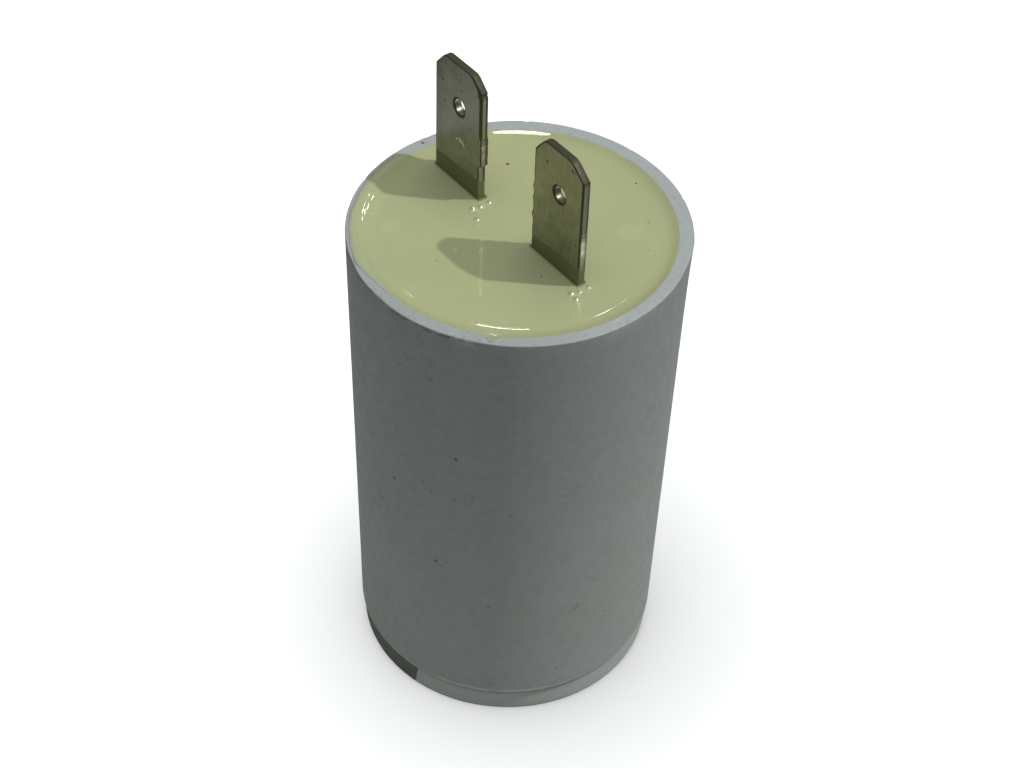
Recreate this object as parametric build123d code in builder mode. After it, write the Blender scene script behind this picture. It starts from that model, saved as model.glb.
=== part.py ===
# Film capacitor: a moulded plastic cup potted with resin, with two push-on blades.
# Millimetres, +Z up. The origin is the middle of the underside, on the surface that
# the cup stands on. Both blades stand in the XZ plane, edge to edge.

import os
from math import radians, tan

from build123d import *

# Cup, moulded in one piece with a slight draft
case_height = 49.0
rim_radius = 15.0
wall = 1.2
outer_draft = 0.68  # degrees
inner_draft = 0.85  # degrees
floor_thickness = 1.6
corner_round = 1.0  # between the floor and the wall, inside
rim_outer_round = 0.25
rim_inner_round = 0.12

# Foot ring, set in a little from the side of the cup
foot_height = 2.4
foot_set_in = 0.27
foot_ring_width = 2.3
underside_recess = 0.5
lip_height = 0.45
lip_depth = 0.2
foot_round = 0.15
gate_mark_radius = 1.6
gate_mark_depth = 0.2

# Potting resin, drawn up at the wall and at the blades before it set
resin_drop = 0.55  # from the rim down to the flat of the resin
wall_meniscus_width = 1.0
wall_meniscus_rise = 0.42
blade_meniscus = 0.85
blade_meniscus_edge = 0.05

# Push-on blades, pressed from sheet
blade_width = 6.4
blade_thickness = 0.8
blade_exposed = 12.4
blade_root = 2.4  # full width below the flat of the resin
tip_corner_width = 1.25
tip_corner_height = 1.45
tip_corner_round = 0.9
tip_bevel = 0.2
shoulder_round = 0.3
far_step_depth = 0.18  # the far blade is this much narrower below a step in its edge
far_step_above_resin = 4.4
detent_radius = 0.9
detent_from_tip = 4.3
detent_off_middle = 0.2
tail_width = 2.8
tail_length = 2.6
far_blade_lift = 0.4
near_blade_from_wall = 5.2  # from the cup's wall at the rim to the blade's edge
far_blade_from_wall = 2.1

# Winding: metallised film rolled on a tube, sprayed with metal at both ends
winding_to_wall = 1.0
spray_thickness = 0.5
core_radius = 3.0
core_wall = 0.8
spray_edge_round = 0.2

# Leads, solder and the sleeve over the long lead
wire_radius = 0.4
lead_bend = 1.0
solder_film = 0.1  # solder between a wire and what it is soldered to
lead_on_tail = 2.2
tail_to_lead = 0.8  # from the end of a tail down to the level stretch of wire
lead_over_winding = 1.2
foot_length = 5.0  # stretch of the short lead that lies on the roll's upper end
sleeve_wall = 0.35
dome_radius = 1.5
dome_height = 1.3
dome_to_floor = 0.9
dome_from_edge = 3.2  # from the edge of the roll to the middle of the lower dome
tail_solder_width = 1.8
tail_solder_side = 0.45  # solder beyond the wire, seen from the blade's edge
tail_solder_round = 0.4

# Heights that follow from the sizes above
floor_top = underside_recess + floor_thickness
resin_level = case_height - resin_drop
spray_bottom = floor_top + dome_to_floor + dome_height
winding_bottom = spray_bottom + spray_thickness
head_room = blade_root + tail_length + tail_to_lead + 2 * wire_radius + lead_over_winding
spray_top = resin_level - head_room
winding_top = spray_top - spray_thickness

# Radii and places that follow from the sizes above
foot_radius = rim_radius - (case_height - foot_height) * tan(radians(outer_draft)) - foot_set_in
inner_radius = rim_radius - wall
floor_radius = inner_radius - (case_height - floor_top) * tan(radians(inner_draft))
winding_radius = floor_radius - winding_to_wall
near_x = inner_radius - near_blade_from_wall - blade_width / 2
far_x = -(inner_radius - far_blade_from_wall - blade_width / 2)
wire_y = blade_thickness / 2 + solder_film + wire_radius
level_run_z = spray_top + lead_over_winding + wire_radius
near_foot_z = spray_top + solder_film + wire_radius
far_foot_z = spray_bottom - solder_film - wire_radius
far_foot_end = winding_radius - dome_from_edge


def outer_radius_at(z):
    """Outside radius of the cup's drafted side at height z."""
    return rim_radius - (case_height - z) * tan(radians(outer_draft))


def inner_radius_at(z):
    """Inside radius of the cup's drafted wall at height z."""
    return inner_radius - (case_height - z) * tan(radians(inner_draft))


def circles_at(part, z, radius):
    """The circular edges of a part that lie at height z and have that radius."""
    return [
        edge
        for edge in part.edges().filter_by(GeomType.CIRCLE)
        if abs(edge.center().Z - z) < 0.001 and abs(edge.radius - radius) < 0.001
    ]


def finish(part, name):
    """Name a finished piece and write it to its own file."""
    part.label = name
    export_step(part, f"parts/{name}.step")
    print(name, "solids", len(part.solids()), "volume", round(part.volume, 2))


def make_cavity():
    """The room inside the cup: a drafted cone with a rounded bottom corner."""
    with BuildPart() as cavity:
        with BuildSketch(Plane.XZ):
            with BuildLine():
                Polyline(
                    (0, floor_top),
                    (floor_radius, floor_top),
                    (inner_radius, case_height),
                    (0, case_height),
                    close=True,
                )
            make_face()
        revolve(axis=Axis.Z)
        fillet(circles_at(cavity, floor_top, floor_radius), corner_round)
    return cavity.part


def make_case(cavity):
    """The cup: drafted side, lip over a foot ring that is set in, hollow underside."""
    foot_inner = foot_radius - foot_ring_width
    lip_top = foot_height + lip_height
    with BuildPart() as case:
        with BuildSketch(Plane.XZ):
            with BuildLine():
                Polyline(
                    (0, underside_recess),
                    (foot_inner, underside_recess),
                    (foot_inner, 0),
                    (foot_radius, 0),
                    (foot_radius, foot_height),
                    (outer_radius_at(lip_top) - lip_depth, foot_height),
                    (outer_radius_at(lip_top), lip_top),
                    (rim_radius, case_height),
                    (0, case_height),
                    close=True,
                )
            make_face()
        revolve(axis=Axis.Z)
        add(cavity, mode=Mode.SUBTRACT)
        fillet(circles_at(case, case_height, rim_radius), rim_outer_round)
        fillet(circles_at(case, case_height, inner_radius), rim_inner_round)
        fillet(circles_at(case, 0, foot_radius), foot_round)
        fillet(circles_at(case, 0, foot_inner), foot_round)
        with Locations(Plane.XY.offset(underside_recess)):
            Cylinder(
                gate_mark_radius,
                gate_mark_depth,
                align=(Align.CENTER, Align.CENTER, Align.MIN),
                mode=Mode.SUBTRACT,
            )
    finish(case.part, "case")
    return case.part


def make_blade(name, x, lift, step_depth):
    """A push-on blade with a bevelled tip, a detent hole and a narrow tail."""
    tip = resin_level + blade_exposed + lift
    shoulder = resin_level - blade_root + lift
    half = blade_width / 2
    with BuildPart() as blade:
        with BuildSketch(Plane.XZ):
            with BuildLine():
                Polyline(
                    (x - tail_width / 2, shoulder - tail_length),
                    (x + tail_width / 2, shoulder - tail_length),
                    (x + tail_width / 2, shoulder),
                    (x + half, shoulder),
                    (x + half, tip - tip_corner_height),
                    (x + half - tip_corner_width, tip),
                    (x - half + tip_corner_width, tip),
                    (x - half, tip - tip_corner_height),
                    (x - half, shoulder),
                    (x - tail_width / 2, shoulder),
                    close=True,
                )
            make_face()
            with Locations((x + detent_off_middle, tip - detent_from_tip)):
                Circle(detent_radius, mode=Mode.SUBTRACT)
        extrude(amount=blade_thickness / 2, both=True)
        fillet(blade.edges().filter_by(Axis.Y).group_by(Axis.Z)[-1], tip_corner_round)
        tip_edges = blade.faces().sort_by(Axis.Z)[-1].edges().filter_by(Axis.X)
        chamfer(tip_edges, tip_bevel)
        shoulders = [
            edge
            for edge in blade.edges().filter_by(Axis.Y)
            if abs(abs(edge.center().X - x) - half) < 0.001 and edge.center().Z > shoulder + 1
        ]
        fillet(shoulders, shoulder_round)
        if step_depth:
            with Locations((x + half, 0, resin_level + far_step_above_resin)):
                Box(
                    2 * step_depth,
                    2 * blade_thickness,
                    blade_root + far_step_above_resin,
                    align=(Align.CENTER, Align.CENTER, Align.MAX),
                    mode=Mode.SUBTRACT,
                )
    finish(blade.part, name)
    return blade.part


def make_tube(name, z_low, z_high, hole_radius, outside_radius):
    """An upright tube on the axis of the cup."""
    with BuildPart() as tube:
        with BuildSketch(Plane.XY.offset(z_low)):
            Circle(outside_radius)
            Circle(hole_radius, mode=Mode.SUBTRACT)
        extrude(amount=z_high - z_low)
    finish(tube.part, name)
    return tube.part


def make_spray(name, z_low, z_outside):
    """Metal sprayed on one end of the roll, with its outer edge rounded."""
    with BuildPart() as spray:
        with BuildSketch(Plane.XY.offset(z_low)):
            Circle(winding_radius)
            Circle(core_radius, mode=Mode.SUBTRACT)
        extrude(amount=spray_thickness)
        fillet(circles_at(spray, z_outside, winding_radius), spray_edge_round)
    finish(spray.part, name)
    return spray.part


def make_lead(name, route, toward):
    """Round wire along straight runs joined by bends of one radius."""
    with BuildPart() as lead:
        with BuildLine() as path:
            FilletPolyline(*route, radius=lead_bend)
        with BuildSketch(Plane(origin=route[0], z_dir=toward)):
            Circle(wire_radius)
        sweep(path=path.wires()[0])
    finish(lead.part, name)
    return lead.part


def make_tail_solder(name, x, z_low, neighbours):
    """Solder that beds one wire on the face of a blade's tail."""
    depth = wire_y + wire_radius + tail_solder_side - blade_thickness / 2
    with BuildPart() as solder:
        with Locations((x, blade_thickness / 2, z_low)):
            Box(
                tail_solder_width,
                depth,
                lead_on_tail,
                align=(Align.CENTER, Align.MIN, Align.MIN),
            )
        fillet(solder.faces().sort_by(Axis.Y)[-1].edges(), tail_solder_round)
        for piece in neighbours:
            add(piece, mode=Mode.SUBTRACT)
    finish(solder.part, name)
    return solder.part


def make_dome_solder(name, x, y, z, up, wire):
    """A dome of solder over the end of a wire on a sprayed end of the roll."""
    with BuildPart() as solder:
        with BuildSketch(Plane(origin=(x, y, z), x_dir=(1, 0, 0), z_dir=(0, -1, 0))):
            with BuildLine():
                TangentArc((0, up * dome_height), (dome_radius, 0), tangent=(1, 0))
                Polyline((dome_radius, 0), (0, 0), (0, up * dome_height))
            make_face()
        revolve(axis=Axis((x, y, z), (0, 0, 1)))
        add(wire, mode=Mode.SUBTRACT)
    finish(solder.part, name)
    return solder.part


def make_resin(cavity, pieces):
    """The potting: fills the cup round every piece, with a concave edge at the wall."""
    contact = resin_level + wall_meniscus_rise
    contact_radius = inner_radius_at(contact)
    flat_radius = contact_radius - wall_meniscus_width
    with BuildPart() as resin:
        add(cavity)
        with BuildSketch(Plane.XZ):
            with BuildLine():
                flat = Line((0, resin_level), (flat_radius, resin_level))
                TangentArc((flat_radius, resin_level), (contact_radius, contact), tangent=flat % 1)
                Polyline(
                    (contact_radius, contact),
                    (rim_radius, contact),
                    (rim_radius, case_height + 1),
                    (0, case_height + 1),
                    (0, resin_level),
                )
            make_face()
        revolve(axis=Axis.Z, mode=Mode.SUBTRACT)
        for x in (near_x, far_x):
            with BuildSketch(Plane.XY.offset(resin_level - blade_meniscus_edge)):
                with Locations((x, 0)):
                    RectangleRounded(
                        blade_width + 2 * blade_meniscus_edge,
                        blade_thickness + 2 * blade_meniscus_edge,
                        blade_thickness / 3,
                    )
            extrude(amount=blade_meniscus + 2 * blade_meniscus_edge)
        foot_of_collar = [
            edge
            for edge in resin.edges()
            if abs(edge.center().Z - resin_level) < 0.001
            and abs(edge.center().Y) < blade_thickness
            and edge.length < blade_width + 1
        ]
        fillet(foot_of_collar, blade_meniscus)
        for piece in pieces:
            add(piece, mode=Mode.SUBTRACT)
    finish(resin.part, "potting_resin")
    return resin.part


def make_model():
    """Every piece of the capacitor, each in its own file."""
    os.makedirs("parts", exist_ok=True)
    cavity = make_cavity()
    make_case(cavity)

    near_blade = make_blade("near_blade", near_x, 0, 0)
    far_blade = make_blade("far_blade", far_x, far_blade_lift, far_step_depth)

    core = make_tube("winding_core", spray_bottom, spray_top, core_radius - core_wall, core_radius)
    winding = make_tube("film_winding", winding_bottom, winding_top, core_radius, winding_radius)
    lower_spray = make_spray("lower_end_spray", spray_bottom, spray_bottom)
    upper_spray = make_spray("upper_end_spray", winding_top, spray_top)

    near_tail_end = resin_level - blade_root - tail_length
    far_tail_end = near_tail_end + far_blade_lift
    near_foot_end = wire_y + foot_length
    short_lead = make_lead(
        "short_lead",
        [
            (near_x, wire_y, near_tail_end + lead_on_tail),
            (near_x, wire_y, near_foot_z),
            (near_x, near_foot_end, near_foot_z),
        ],
        (0, 0, -1),
    )
    long_lead = make_lead(
        "long_lead",
        [
            (far_x, wire_y, far_tail_end + lead_on_tail),
            (far_x, wire_y, level_run_z),
            (0, 0, level_run_z),
            (0, 0, far_foot_z),
            (far_foot_end, 0, far_foot_z),
        ],
        (0, 0, -1),
    )
    sleeve = make_tube(
        "lead_sleeve",
        far_foot_z + lead_bend,
        level_run_z - lead_bend,
        wire_radius,
        wire_radius + sleeve_wall,
    )

    solder = [
        make_tail_solder("near_tail_solder", near_x, near_tail_end, [near_blade, short_lead]),
        make_tail_solder("far_tail_solder", far_x, far_tail_end, [far_blade, long_lead]),
        make_dome_solder("upper_end_solder", near_x, near_foot_end, spray_top, 1, short_lead),
        make_dome_solder("lower_end_solder", far_foot_end, 0, spray_bottom, -1, long_lead),
    ]
    held = [near_blade, far_blade, core, winding, lower_spray, upper_spray]
    held += [short_lead, long_lead, sleeve, *solder]
    make_resin(cavity, held)


make_model()
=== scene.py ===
# %% [markdown]
# # A potted film capacitor, dressed round its CAD frame
#
# The real thing is a tall plastic cup, about as wide as a thumb. A roll of film sits in it,
# drowned in a hard yellow-green resin, and two tinned blades stand out of the resin so that
# push-on receptacles can be fitted. Nothing moves. Everything that makes it look real is small:
# the way the resin climbed the wall and the blades before it set, the matt skin of the moulding,
# the sheared edges and dull tin of the blades.
#
# Each step below has a short text cell and one or more code cells. The first cell loads the
# CAD model, which stays fixed. All lengths in this file are millimetres and are turned into
# Blender's metres in one place.

# %% Load the CAD frame
import bpy
import math
import numpy as np
from mathutils import Matrix, Vector


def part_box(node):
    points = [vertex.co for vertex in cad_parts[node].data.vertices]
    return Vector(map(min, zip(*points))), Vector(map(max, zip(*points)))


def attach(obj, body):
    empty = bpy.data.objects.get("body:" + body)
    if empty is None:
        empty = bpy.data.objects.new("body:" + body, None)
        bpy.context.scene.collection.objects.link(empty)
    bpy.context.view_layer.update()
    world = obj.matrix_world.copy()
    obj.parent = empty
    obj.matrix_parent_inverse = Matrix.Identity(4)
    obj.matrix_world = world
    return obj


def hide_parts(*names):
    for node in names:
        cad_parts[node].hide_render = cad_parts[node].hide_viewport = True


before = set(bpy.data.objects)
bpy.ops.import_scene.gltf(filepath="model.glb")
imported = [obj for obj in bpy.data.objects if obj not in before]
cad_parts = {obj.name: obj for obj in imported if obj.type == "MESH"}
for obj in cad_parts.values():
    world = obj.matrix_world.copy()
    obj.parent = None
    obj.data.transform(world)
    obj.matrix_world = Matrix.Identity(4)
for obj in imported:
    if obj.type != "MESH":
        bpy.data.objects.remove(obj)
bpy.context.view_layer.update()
MM = 0.001


def corners(node):
    """Lowest and highest corner of a CAD node, in millimetres."""
    low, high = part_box(node)
    return np.array(low) / MM, np.array(high) / MM


case_low, case_high = corners("case")
near_low, near_high = corners("near_blade")
far_low, far_high = corners("far_blade")
print("case", case_low.round(2), case_high.round(2))
print("near blade", near_low.round(2), near_high.round(2))
print("far blade", far_low.round(2), far_high.round(2))

# %% [markdown]
# ## Sizes
#
# The frame gives the corners of each piece. What a corner can't say, such as the draft of the
# cup's side, is named here once, with the same values as the CAD source.

# %% Sizes that the frame doesn't give
RIM_Z = float(case_high[2])
RIM_R = 15.0
WALL = 1.2
OUTER_SLOPE = math.tan(math.radians(0.68))
INNER_SLOPE = math.tan(math.radians(0.85))
FOOT_H = 2.4
FOOT_SET_IN = 0.27
FOOT_RING = 2.3
RECESS = 0.5
FLOOR_TOP = 2.1
LIP_TOP = FOOT_H + 0.45
LIP_DEPTH = 0.2
RESIN_Z = RIM_Z - 0.55
BLADE_T = 0.8


def outer_r(z):
    """Outside radius of the drafted side: the rim's, less slope times the depth under the rim."""
    return RIM_R - (RIM_Z - z) * OUTER_SLOPE


def inner_r(z):
    """Inside radius of the drafted wall, in the same way."""
    return RIM_R - WALL - (RIM_Z - z) * INNER_SLOPE


FOOT_R = outer_r(FOOT_H) - FOOT_SET_IN
print("foot radius", round(FOOT_R, 2), "flat of the resin", RESIN_Z)

# %% [markdown]
# ## Camera
#
# A camera placed by eye never quite lands on the photograph. This one was fitted: its height,
# distance, tilt and focal length were solved so that the rim, the sides and the foot of the cup
# fall on the photograph's outline. The blades' plane is turned about 51 degrees to the view.

# %% Camera
CAMERA_TURN = 51.139
CAMERA_TILT_DOWN = 44.2113
CAMERA_ROLL = 2.1708
CAMERA_DISTANCE = 142.896
CAMERA_HEIGHT = 169.162
CAMERA_AROUND = 51.1
FOCAL_LENGTH = 75.894


def turn(degrees, axis):
    """A rotation about one axis as a 4 by 4 matrix."""
    return Matrix.Rotation(math.radians(degrees), 4, axis)


def make_camera():
    """A camera round the cup at CAMERA_AROUND, tilted down, with a little roll."""
    data = bpy.data.cameras.new("camera")
    data.sensor_width = 36.0
    data.lens = FOCAL_LENGTH
    data.clip_start = 1 * MM
    data.clip_end = 10.0
    camera = bpy.data.objects.new("camera", data)
    bpy.context.collection.objects.link(camera)
    around = math.radians(CAMERA_AROUND)
    place = Vector((
        CAMERA_DISTANCE * math.sin(around),
        -CAMERA_DISTANCE * math.cos(around),
        CAMERA_HEIGHT,
    ))
    aim = turn(CAMERA_TURN, "Z") @ turn(90 - CAMERA_TILT_DOWN, "X") @ turn(CAMERA_ROLL, "Z")
    camera.matrix_world = Matrix.Translation(place * MM) @ aim
    bpy.context.scene.camera = camera
    print("camera at", [round(x, 1) for x in place])


make_camera()

# %% [markdown]
# ## Light
#
# The photograph shows one fairly hard light from the back right, which throws the blades'
# shadows across the resin, and soft light from above. The studio here is a small sun for those
# shadows, a large soft lamp overhead that glossy faces don't mirror, and a dim surround. The
# resin mirrors a few small panels as beads at the left of the wall, thin arcs along its front and
# a strip along its back, and a glow round the sun as dots on the drops beside the blades. That is
# what tells the eye that it is glossy. The panels shine on the resin alone and add no diffuse
# light.

# %% Aiming a light
LIGHT_REACH = 700.0
SUN_AROUND, SUN_HEIGHT = 47.5, 54.0
PLAIN = (1.0, 1.0, 1.0)
WARM = (1.0, 1.0, 0.82)
COOL = (0.97, 0.99, 1.0)


def toward(around, height):
    """Unit vector to a light: around is counted from +X towards +Y, height above the floor."""
    a = math.radians(around)
    h = math.radians(height)
    return Vector((math.cos(a) * math.cos(h), math.sin(a) * math.cos(h), math.sin(h)))


def place_light(data, around, height):
    """Put a lamp LIGHT_REACH away from the middle of the rim, facing it."""
    lamp = bpy.data.objects.new(data.name, data)
    bpy.context.collection.objects.link(lamp)
    direction = toward(around, height)
    lamp.location = (direction * LIGHT_REACH + Vector((0, 0, RIM_Z))) * MM
    lamp.rotation_mode = "QUATERNION"
    lamp.rotation_quaternion = (-direction).to_track_quat("-Z", "Y")
    return lamp


# %% Sun


def make_sun(around, height, strength, softness, tint):
    """The hard light: its softness is the angle that the lamp fills, in degrees."""
    data = bpy.data.lights.new("key_sun", "SUN")
    data.energy = strength
    data.angle = math.radians(softness)
    data.color = tint
    return place_light(data, around, height)


key_sun = make_sun(SUN_AROUND, SUN_HEIGHT, 1.5, 1.57, (1.0, 0.985, 0.95))

# %% Soft lamps and the surround


def make_panel(name, around, height, width, depth, radiance, tint):
    """A flat lamp: its width and depth are angles in degrees, its radiance is what a mirror shows.

    A flat lamp sends out power = radiance * area * pi in Blender's units.
    """
    data = bpy.data.lights.new(name, "AREA")
    data.shape = "ELLIPSE"
    data.size = 2 * LIGHT_REACH * MM * math.tan(math.radians(width / 2))
    data.size_y = 2 * LIGHT_REACH * MM * math.tan(math.radians(depth / 2))
    area = math.pi * data.size * data.size_y / 4
    data.energy = radiance * area * math.pi
    data.color = tint
    return place_light(data, around, height)


overhead = make_panel("soft_overhead", 230.0, 90.0, 62.0, 62.0, 2.05, COOL)
overhead.visible_glossy = False
paper_lamp = make_panel("paper_lamp", 230.0, 85.0, 80.0, 80.0, 2.4, PLAIN)

world = bpy.data.worlds.new("surround")
world.use_nodes = True
world.node_tree.nodes["Background"].inputs["Color"].default_value = (*COOL, 1.0)
world.node_tree.nodes["Background"].inputs["Strength"].default_value = 0.12
bpy.context.scene.world = world
bpy.context.scene.view_settings.view_transform = "Standard"

# %% Small panels that the resin mirrors
PANELS = [
    # name, tint, around, height, width, depth (degrees), radiance
    ("arc_back", WARM, 139.8, 30.3, 4.8, 1.2, 28.0),
    ("arc_back_thin", WARM, 139.6, 32.8, 2.6, 0.5, 18.0),
    ("arc_right", WARM, 142.9, 32.6, 0.3, 1.4, 34.0),
    ("arc_right_thin", WARM, 142.9, 34.6, 0.2, 0.5, 14.0),
    ("bead_low", WARM, 106.8, 26.4, 3.0, 2.4, 30.0),
    ("bead_second", WARM, 107.2, 31.0, 3.0, 2.0, 24.0),
    ("bead_third", WARM, 107.4, 35.0, 3.0, 2.2, 30.0),
    ("bead_high", WARM, 105.5, 39.1, 3.0, 1.8, 20.0),
    ("strip_back", PLAIN, -32.0, 88.0, 17.0, 13.0, 16.0),
    # A glow round the sun, as haze gives it, so that a drop too small to show the sun shows this.
    ("sun_halo", PLAIN, SUN_AROUND, SUN_HEIGHT, 12.0, 12.0, 190.0),
]
panel_lamps = []
for name, tint, *aim in PANELS:
    panel = make_panel(name, *aim, tint)
    panel.visible_diffuse = False
    panel_lamps.append(panel)
print("panels", len(panel_lamps))

# %% [markdown]
# ## Helpers for materials
#
# A colour picked on a screen is an sRGB value, and Blender works with linear light, so one
# function turns a hex code into linear numbers. Another adds a node with its settings and its
# links in one call, which keeps each finish readable from top to bottom.

# %% Colour and nodes


def linear(hex_code):
    """sRGB hex to linear light: v/12.92 for small v, else ((v + 0.055)/1.055) to the power 2.4."""
    v = np.array([int(hex_code[i:i + 2], 16) for i in (1, 3, 5)]) / 255.0
    low = v / 12.92
    high = ((v + 0.055) / 1.055) ** 2.4
    return (*np.where(v <= 0.04045, low, high).tolist(), 1.0)


def add_node(tree, kind, settings, out=0):
    """Add a node and give one of its outputs.

    A setting is a property's name, or an input's name or number. Where its value is an output of
    another node it is linked, and a hex code becomes a linear colour.
    """
    node = tree.nodes.new("ShaderNode" + kind)
    for name, value in settings.items():
        if isinstance(name, str) and hasattr(node, name):
            setattr(node, name, value)
        elif isinstance(value, bpy.types.NodeSocket):
            tree.links.new(value, node.inputs[name])
        else:
            node.inputs[name].default_value = linear(value) if isinstance(value, str) else value
    return node.outputs[out]


SMOOTH = {"interpolation_type": "SMOOTHSTEP"}
COLOUR = {"data_type": "RGBA"}
PLUS, MINUS, TIMES, LARGER = (
    {"operation": word} for word in ("ADD", "SUBTRACT", "MULTIPLY", "MAXIMUM")
)


# %% Patterns


def new_material(name):
    """A material with its surface shader and output, ready for more nodes."""
    material = bpy.data.materials.new(name)
    material.use_nodes = True
    tree = material.node_tree
    tree.nodes.clear()
    surface = add_node(tree, "BsdfPrincipled", {}).node
    output = tree.nodes.new("ShaderNodeOutputMaterial")
    tree.links.new(surface.outputs["BSDF"], output.inputs["Surface"])
    place = add_node(tree, "TexCoord", {}, "Object")
    return material, tree, surface, place


def grain(tree, place, size, detail=2.0, stretch=(1.0, 1.0, 1.0), rough=0.5):
    """Noise whose blotches are about size millimetres across, stretched along the axes."""
    stretched = add_node(tree, "Mapping", {"Scale": stretch, "Vector": place})
    return add_node(tree, "TexNoise", {
        "Scale": 1 / (size * MM), "Detail": detail, "Roughness": rough, "Vector": stretched,
    })


def within(tree, value, low, high, soft):
    """1 where value lies between low and high, falling to 0 over soft on each side."""
    rise = add_node(tree, "MapRange", {**SMOOTH, 0: value, 1: low - soft, 2: low + soft})
    fall = add_node(tree, "MapRange", {**SMOOTH, 0: value, 1: high - soft, 2: high + soft})
    return add_node(tree, "Math", {**MINUS, 0: rise, 1: fall})


def specks(tree, place, spots):
    """Small round marks: 1 inside any of the (x, y, z, radius) spots, in millimetres."""
    total = None
    for x, y, z, radius in spots:
        far = add_node(tree, "VectorMath", {
            "operation": "DISTANCE", 0: place, 1: (x * MM, y * MM, z * MM),
        }, "Value")
        mark = add_node(tree, "MapRange", {
            **SMOOTH, 0: far, 1: 0.6 * radius * MM, 2: 1.3 * radius * MM, 3: 1.0, 4: 0.0,
        })
        total = mark if total is None else add_node(tree, "Math", {**LARGER, 0: total, 1: mark})
    return total


# %% [markdown]
# ## The moulded cup's finish
#
# The cup is glass-filled polyester, moulded in a spark-eroded tool. That gives a grey-white,
# matt skin with a very fine grain, a faint blue cast, small dark specks where regrind burnt, and
# dull smudges from handling. The edge of the rim is chipped and holds dirt at the front. The foot
# carries painted light: a pale line along the lip's lower edge, and the foot ring painted lighter.
# It also carries painted shade: a dark line just under the lip, and a painted contact shadow along
# the bottom. One stretch of the foot ring is darker.
#
# A finish like this is built as a painter would: a base tone, and then one layer after another,
# each an amount between 0 and 1 and a colour. The amount is a pattern, a zone, or their product.

# %% Glass-filled polyester: where its marks are


def polar_spot(around, z, radius):
    """A spot on the drafted side, from its direction in degrees and its height."""
    r = RIM_R - (RIM_Z - z) * OUTER_SLOPE
    a = math.radians(around)
    return (r * math.cos(a), r * math.sin(a), z, radius)


CASE_SPECKS = [polar_spot(*spot) for spot in (
    (-57.3, 34.5, 0.16), (-83.2, 28.1, 0.17), (-65.0, 20.1, 0.17), (-69.9, 30.0, 0.09),
    (-66.5, 29.3, 0.08), (-60.6, 20.4, 0.09), (1.0, 11.6, 0.10), (-74.5, 19.5, 0.09),
    (-77.3, 32.2, 0.08), (-78.9, 43.1, 0.10), (-18.2, 5.6, 0.09), (-120.0, 31.0, 0.12),
    (100.0, 22.0, 0.12), (160.0, 37.0, 0.10), (55.0, 17.0, 0.14), (-150.0, 12.0, 0.10),
)]
CASE_SMUDGES = [polar_spot(*spot) for spot in (
    (-11.9, 14.0, 0.30), (-11.0, 14.35, 0.24), (-57.5, 29.2, 0.22), (-51.3, 30.1, 0.20),
    (-66.2, 43.2, 0.20), (-44.9, 15.5, 0.22), (-50.6, 14.2, 0.20), (-38.0, 28.2, 0.22),
    (-19.4, 30.3, 0.20), (130.0, 30.0, 0.30), (75.0, 9.0, 0.25),
)]
CASE_SPECKS.append((-14.4, 0.1, RIM_Z, 0.17))
print("marks on the cup", len(CASE_SPECKS) + len(CASE_SMUDGES))

# %% Glass-filled polyester: layers of the side


def side_layers(tree, place, around, fine, skin):
    """Tones of the moulded skin, then handled patches, smudges and peppered dirt at the left."""
    darker = add_node(tree, "MapRange", {**SMOOTH, 0: fine, 1: 0.35, 2: 0.75, 4: 0.35})
    lighter = add_node(tree, "MapRange", {**SMOOTH, 0: skin, 1: 0.3, 2: 0.7, 4: 0.25})
    patches = grain(tree, place, 2.2, 4.0, rough=0.65)
    patchy = add_node(tree, "MapRange", {**SMOOTH, 0: patches, 1: 0.60, 2: 0.74})
    wide = grain(tree, place, 14.0, 1.0)
    regions = add_node(tree, "MapRange", {**SMOOTH, 0: wide, 1: 0.45, 2: 0.60, 4: 0.30})
    handled = add_node(tree, "Math", {**TIMES, 0: patchy, 1: regions})
    smudges = add_node(tree, "Math", {**TIMES, 0: specks(tree, place, CASE_SMUDGES), 1: 0.28})
    dots = grain(tree, place, 0.45, 2.0, rough=0.7)
    peppered = add_node(tree, "MapRange", {**SMOOTH, 0: dots, 1: 0.70, 2: 0.76, 4: 0.35})
    left = within(tree, around, math.radians(-112), math.radians(-62), 0.12)
    peppered = add_node(tree, "Math", {**TIMES, 0: peppered, 1: left})
    return [
        (darker, "#949a99"), (lighter, "#afb5b6"), (handled, "#747a75"), (smudges, "#4a4f49"),
        (peppered, "#5b605b"),
    ]


# %% Glass-filled polyester: layers of the rim


def rim_layers(tree, place, height, around):
    """Chips under the rim's outer edge at the front left, then grime and pits on its top."""
    ragged = grain(tree, place, 0.7, 3.0, rough=0.7)
    ragged = add_node(tree, "MapRange", {**SMOOTH, 0: ragged, 1: 0.47, 2: 0.56})
    under_rim = within(tree, height, (RIM_Z - 0.42) * MM, (RIM_Z - 0.08) * MM, 0.05 * MM)
    front_left = within(tree, around, math.radians(-116), math.radians(-50), 0.05)
    chips = ragged
    for factor in (under_rim, front_left, 0.45):
        chips = add_node(tree, "Math", {**TIMES, 0: chips, 1: factor})
    on_rim = add_node(tree, "MapRange", {
        **SMOOTH, 0: height, 1: (RIM_Z - 0.2) * MM, 2: (RIM_Z - 0.05) * MM, 4: 0.4,
    })
    toward_front = within(tree, around, math.radians(-152), math.radians(-18), 0.25)
    grimy = add_node(tree, "Math", {**TIMES, 0: on_rim, 1: toward_front})
    pits = grain(tree, place, 0.5, 3.0, rough=0.7)
    pitted = add_node(tree, "MapRange", {**SMOOTH, 0: pits, 1: 0.56, 2: 0.66})
    pitted = add_node(tree, "Math", {**TIMES, 0: pitted, 1: on_rim})
    return [(chips, "#43473f"), (grimy, "#91968f"), (pitted, "#7d837d")]


# %% Glass-filled polyester: layers of the foot
DARK_STRETCH_START, DARK_STRETCH_END = math.radians(-150.0), math.radians(-74.0)
DARK_STRETCH_LEAN = 12.0  # radians of direction for each metre of height


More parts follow.
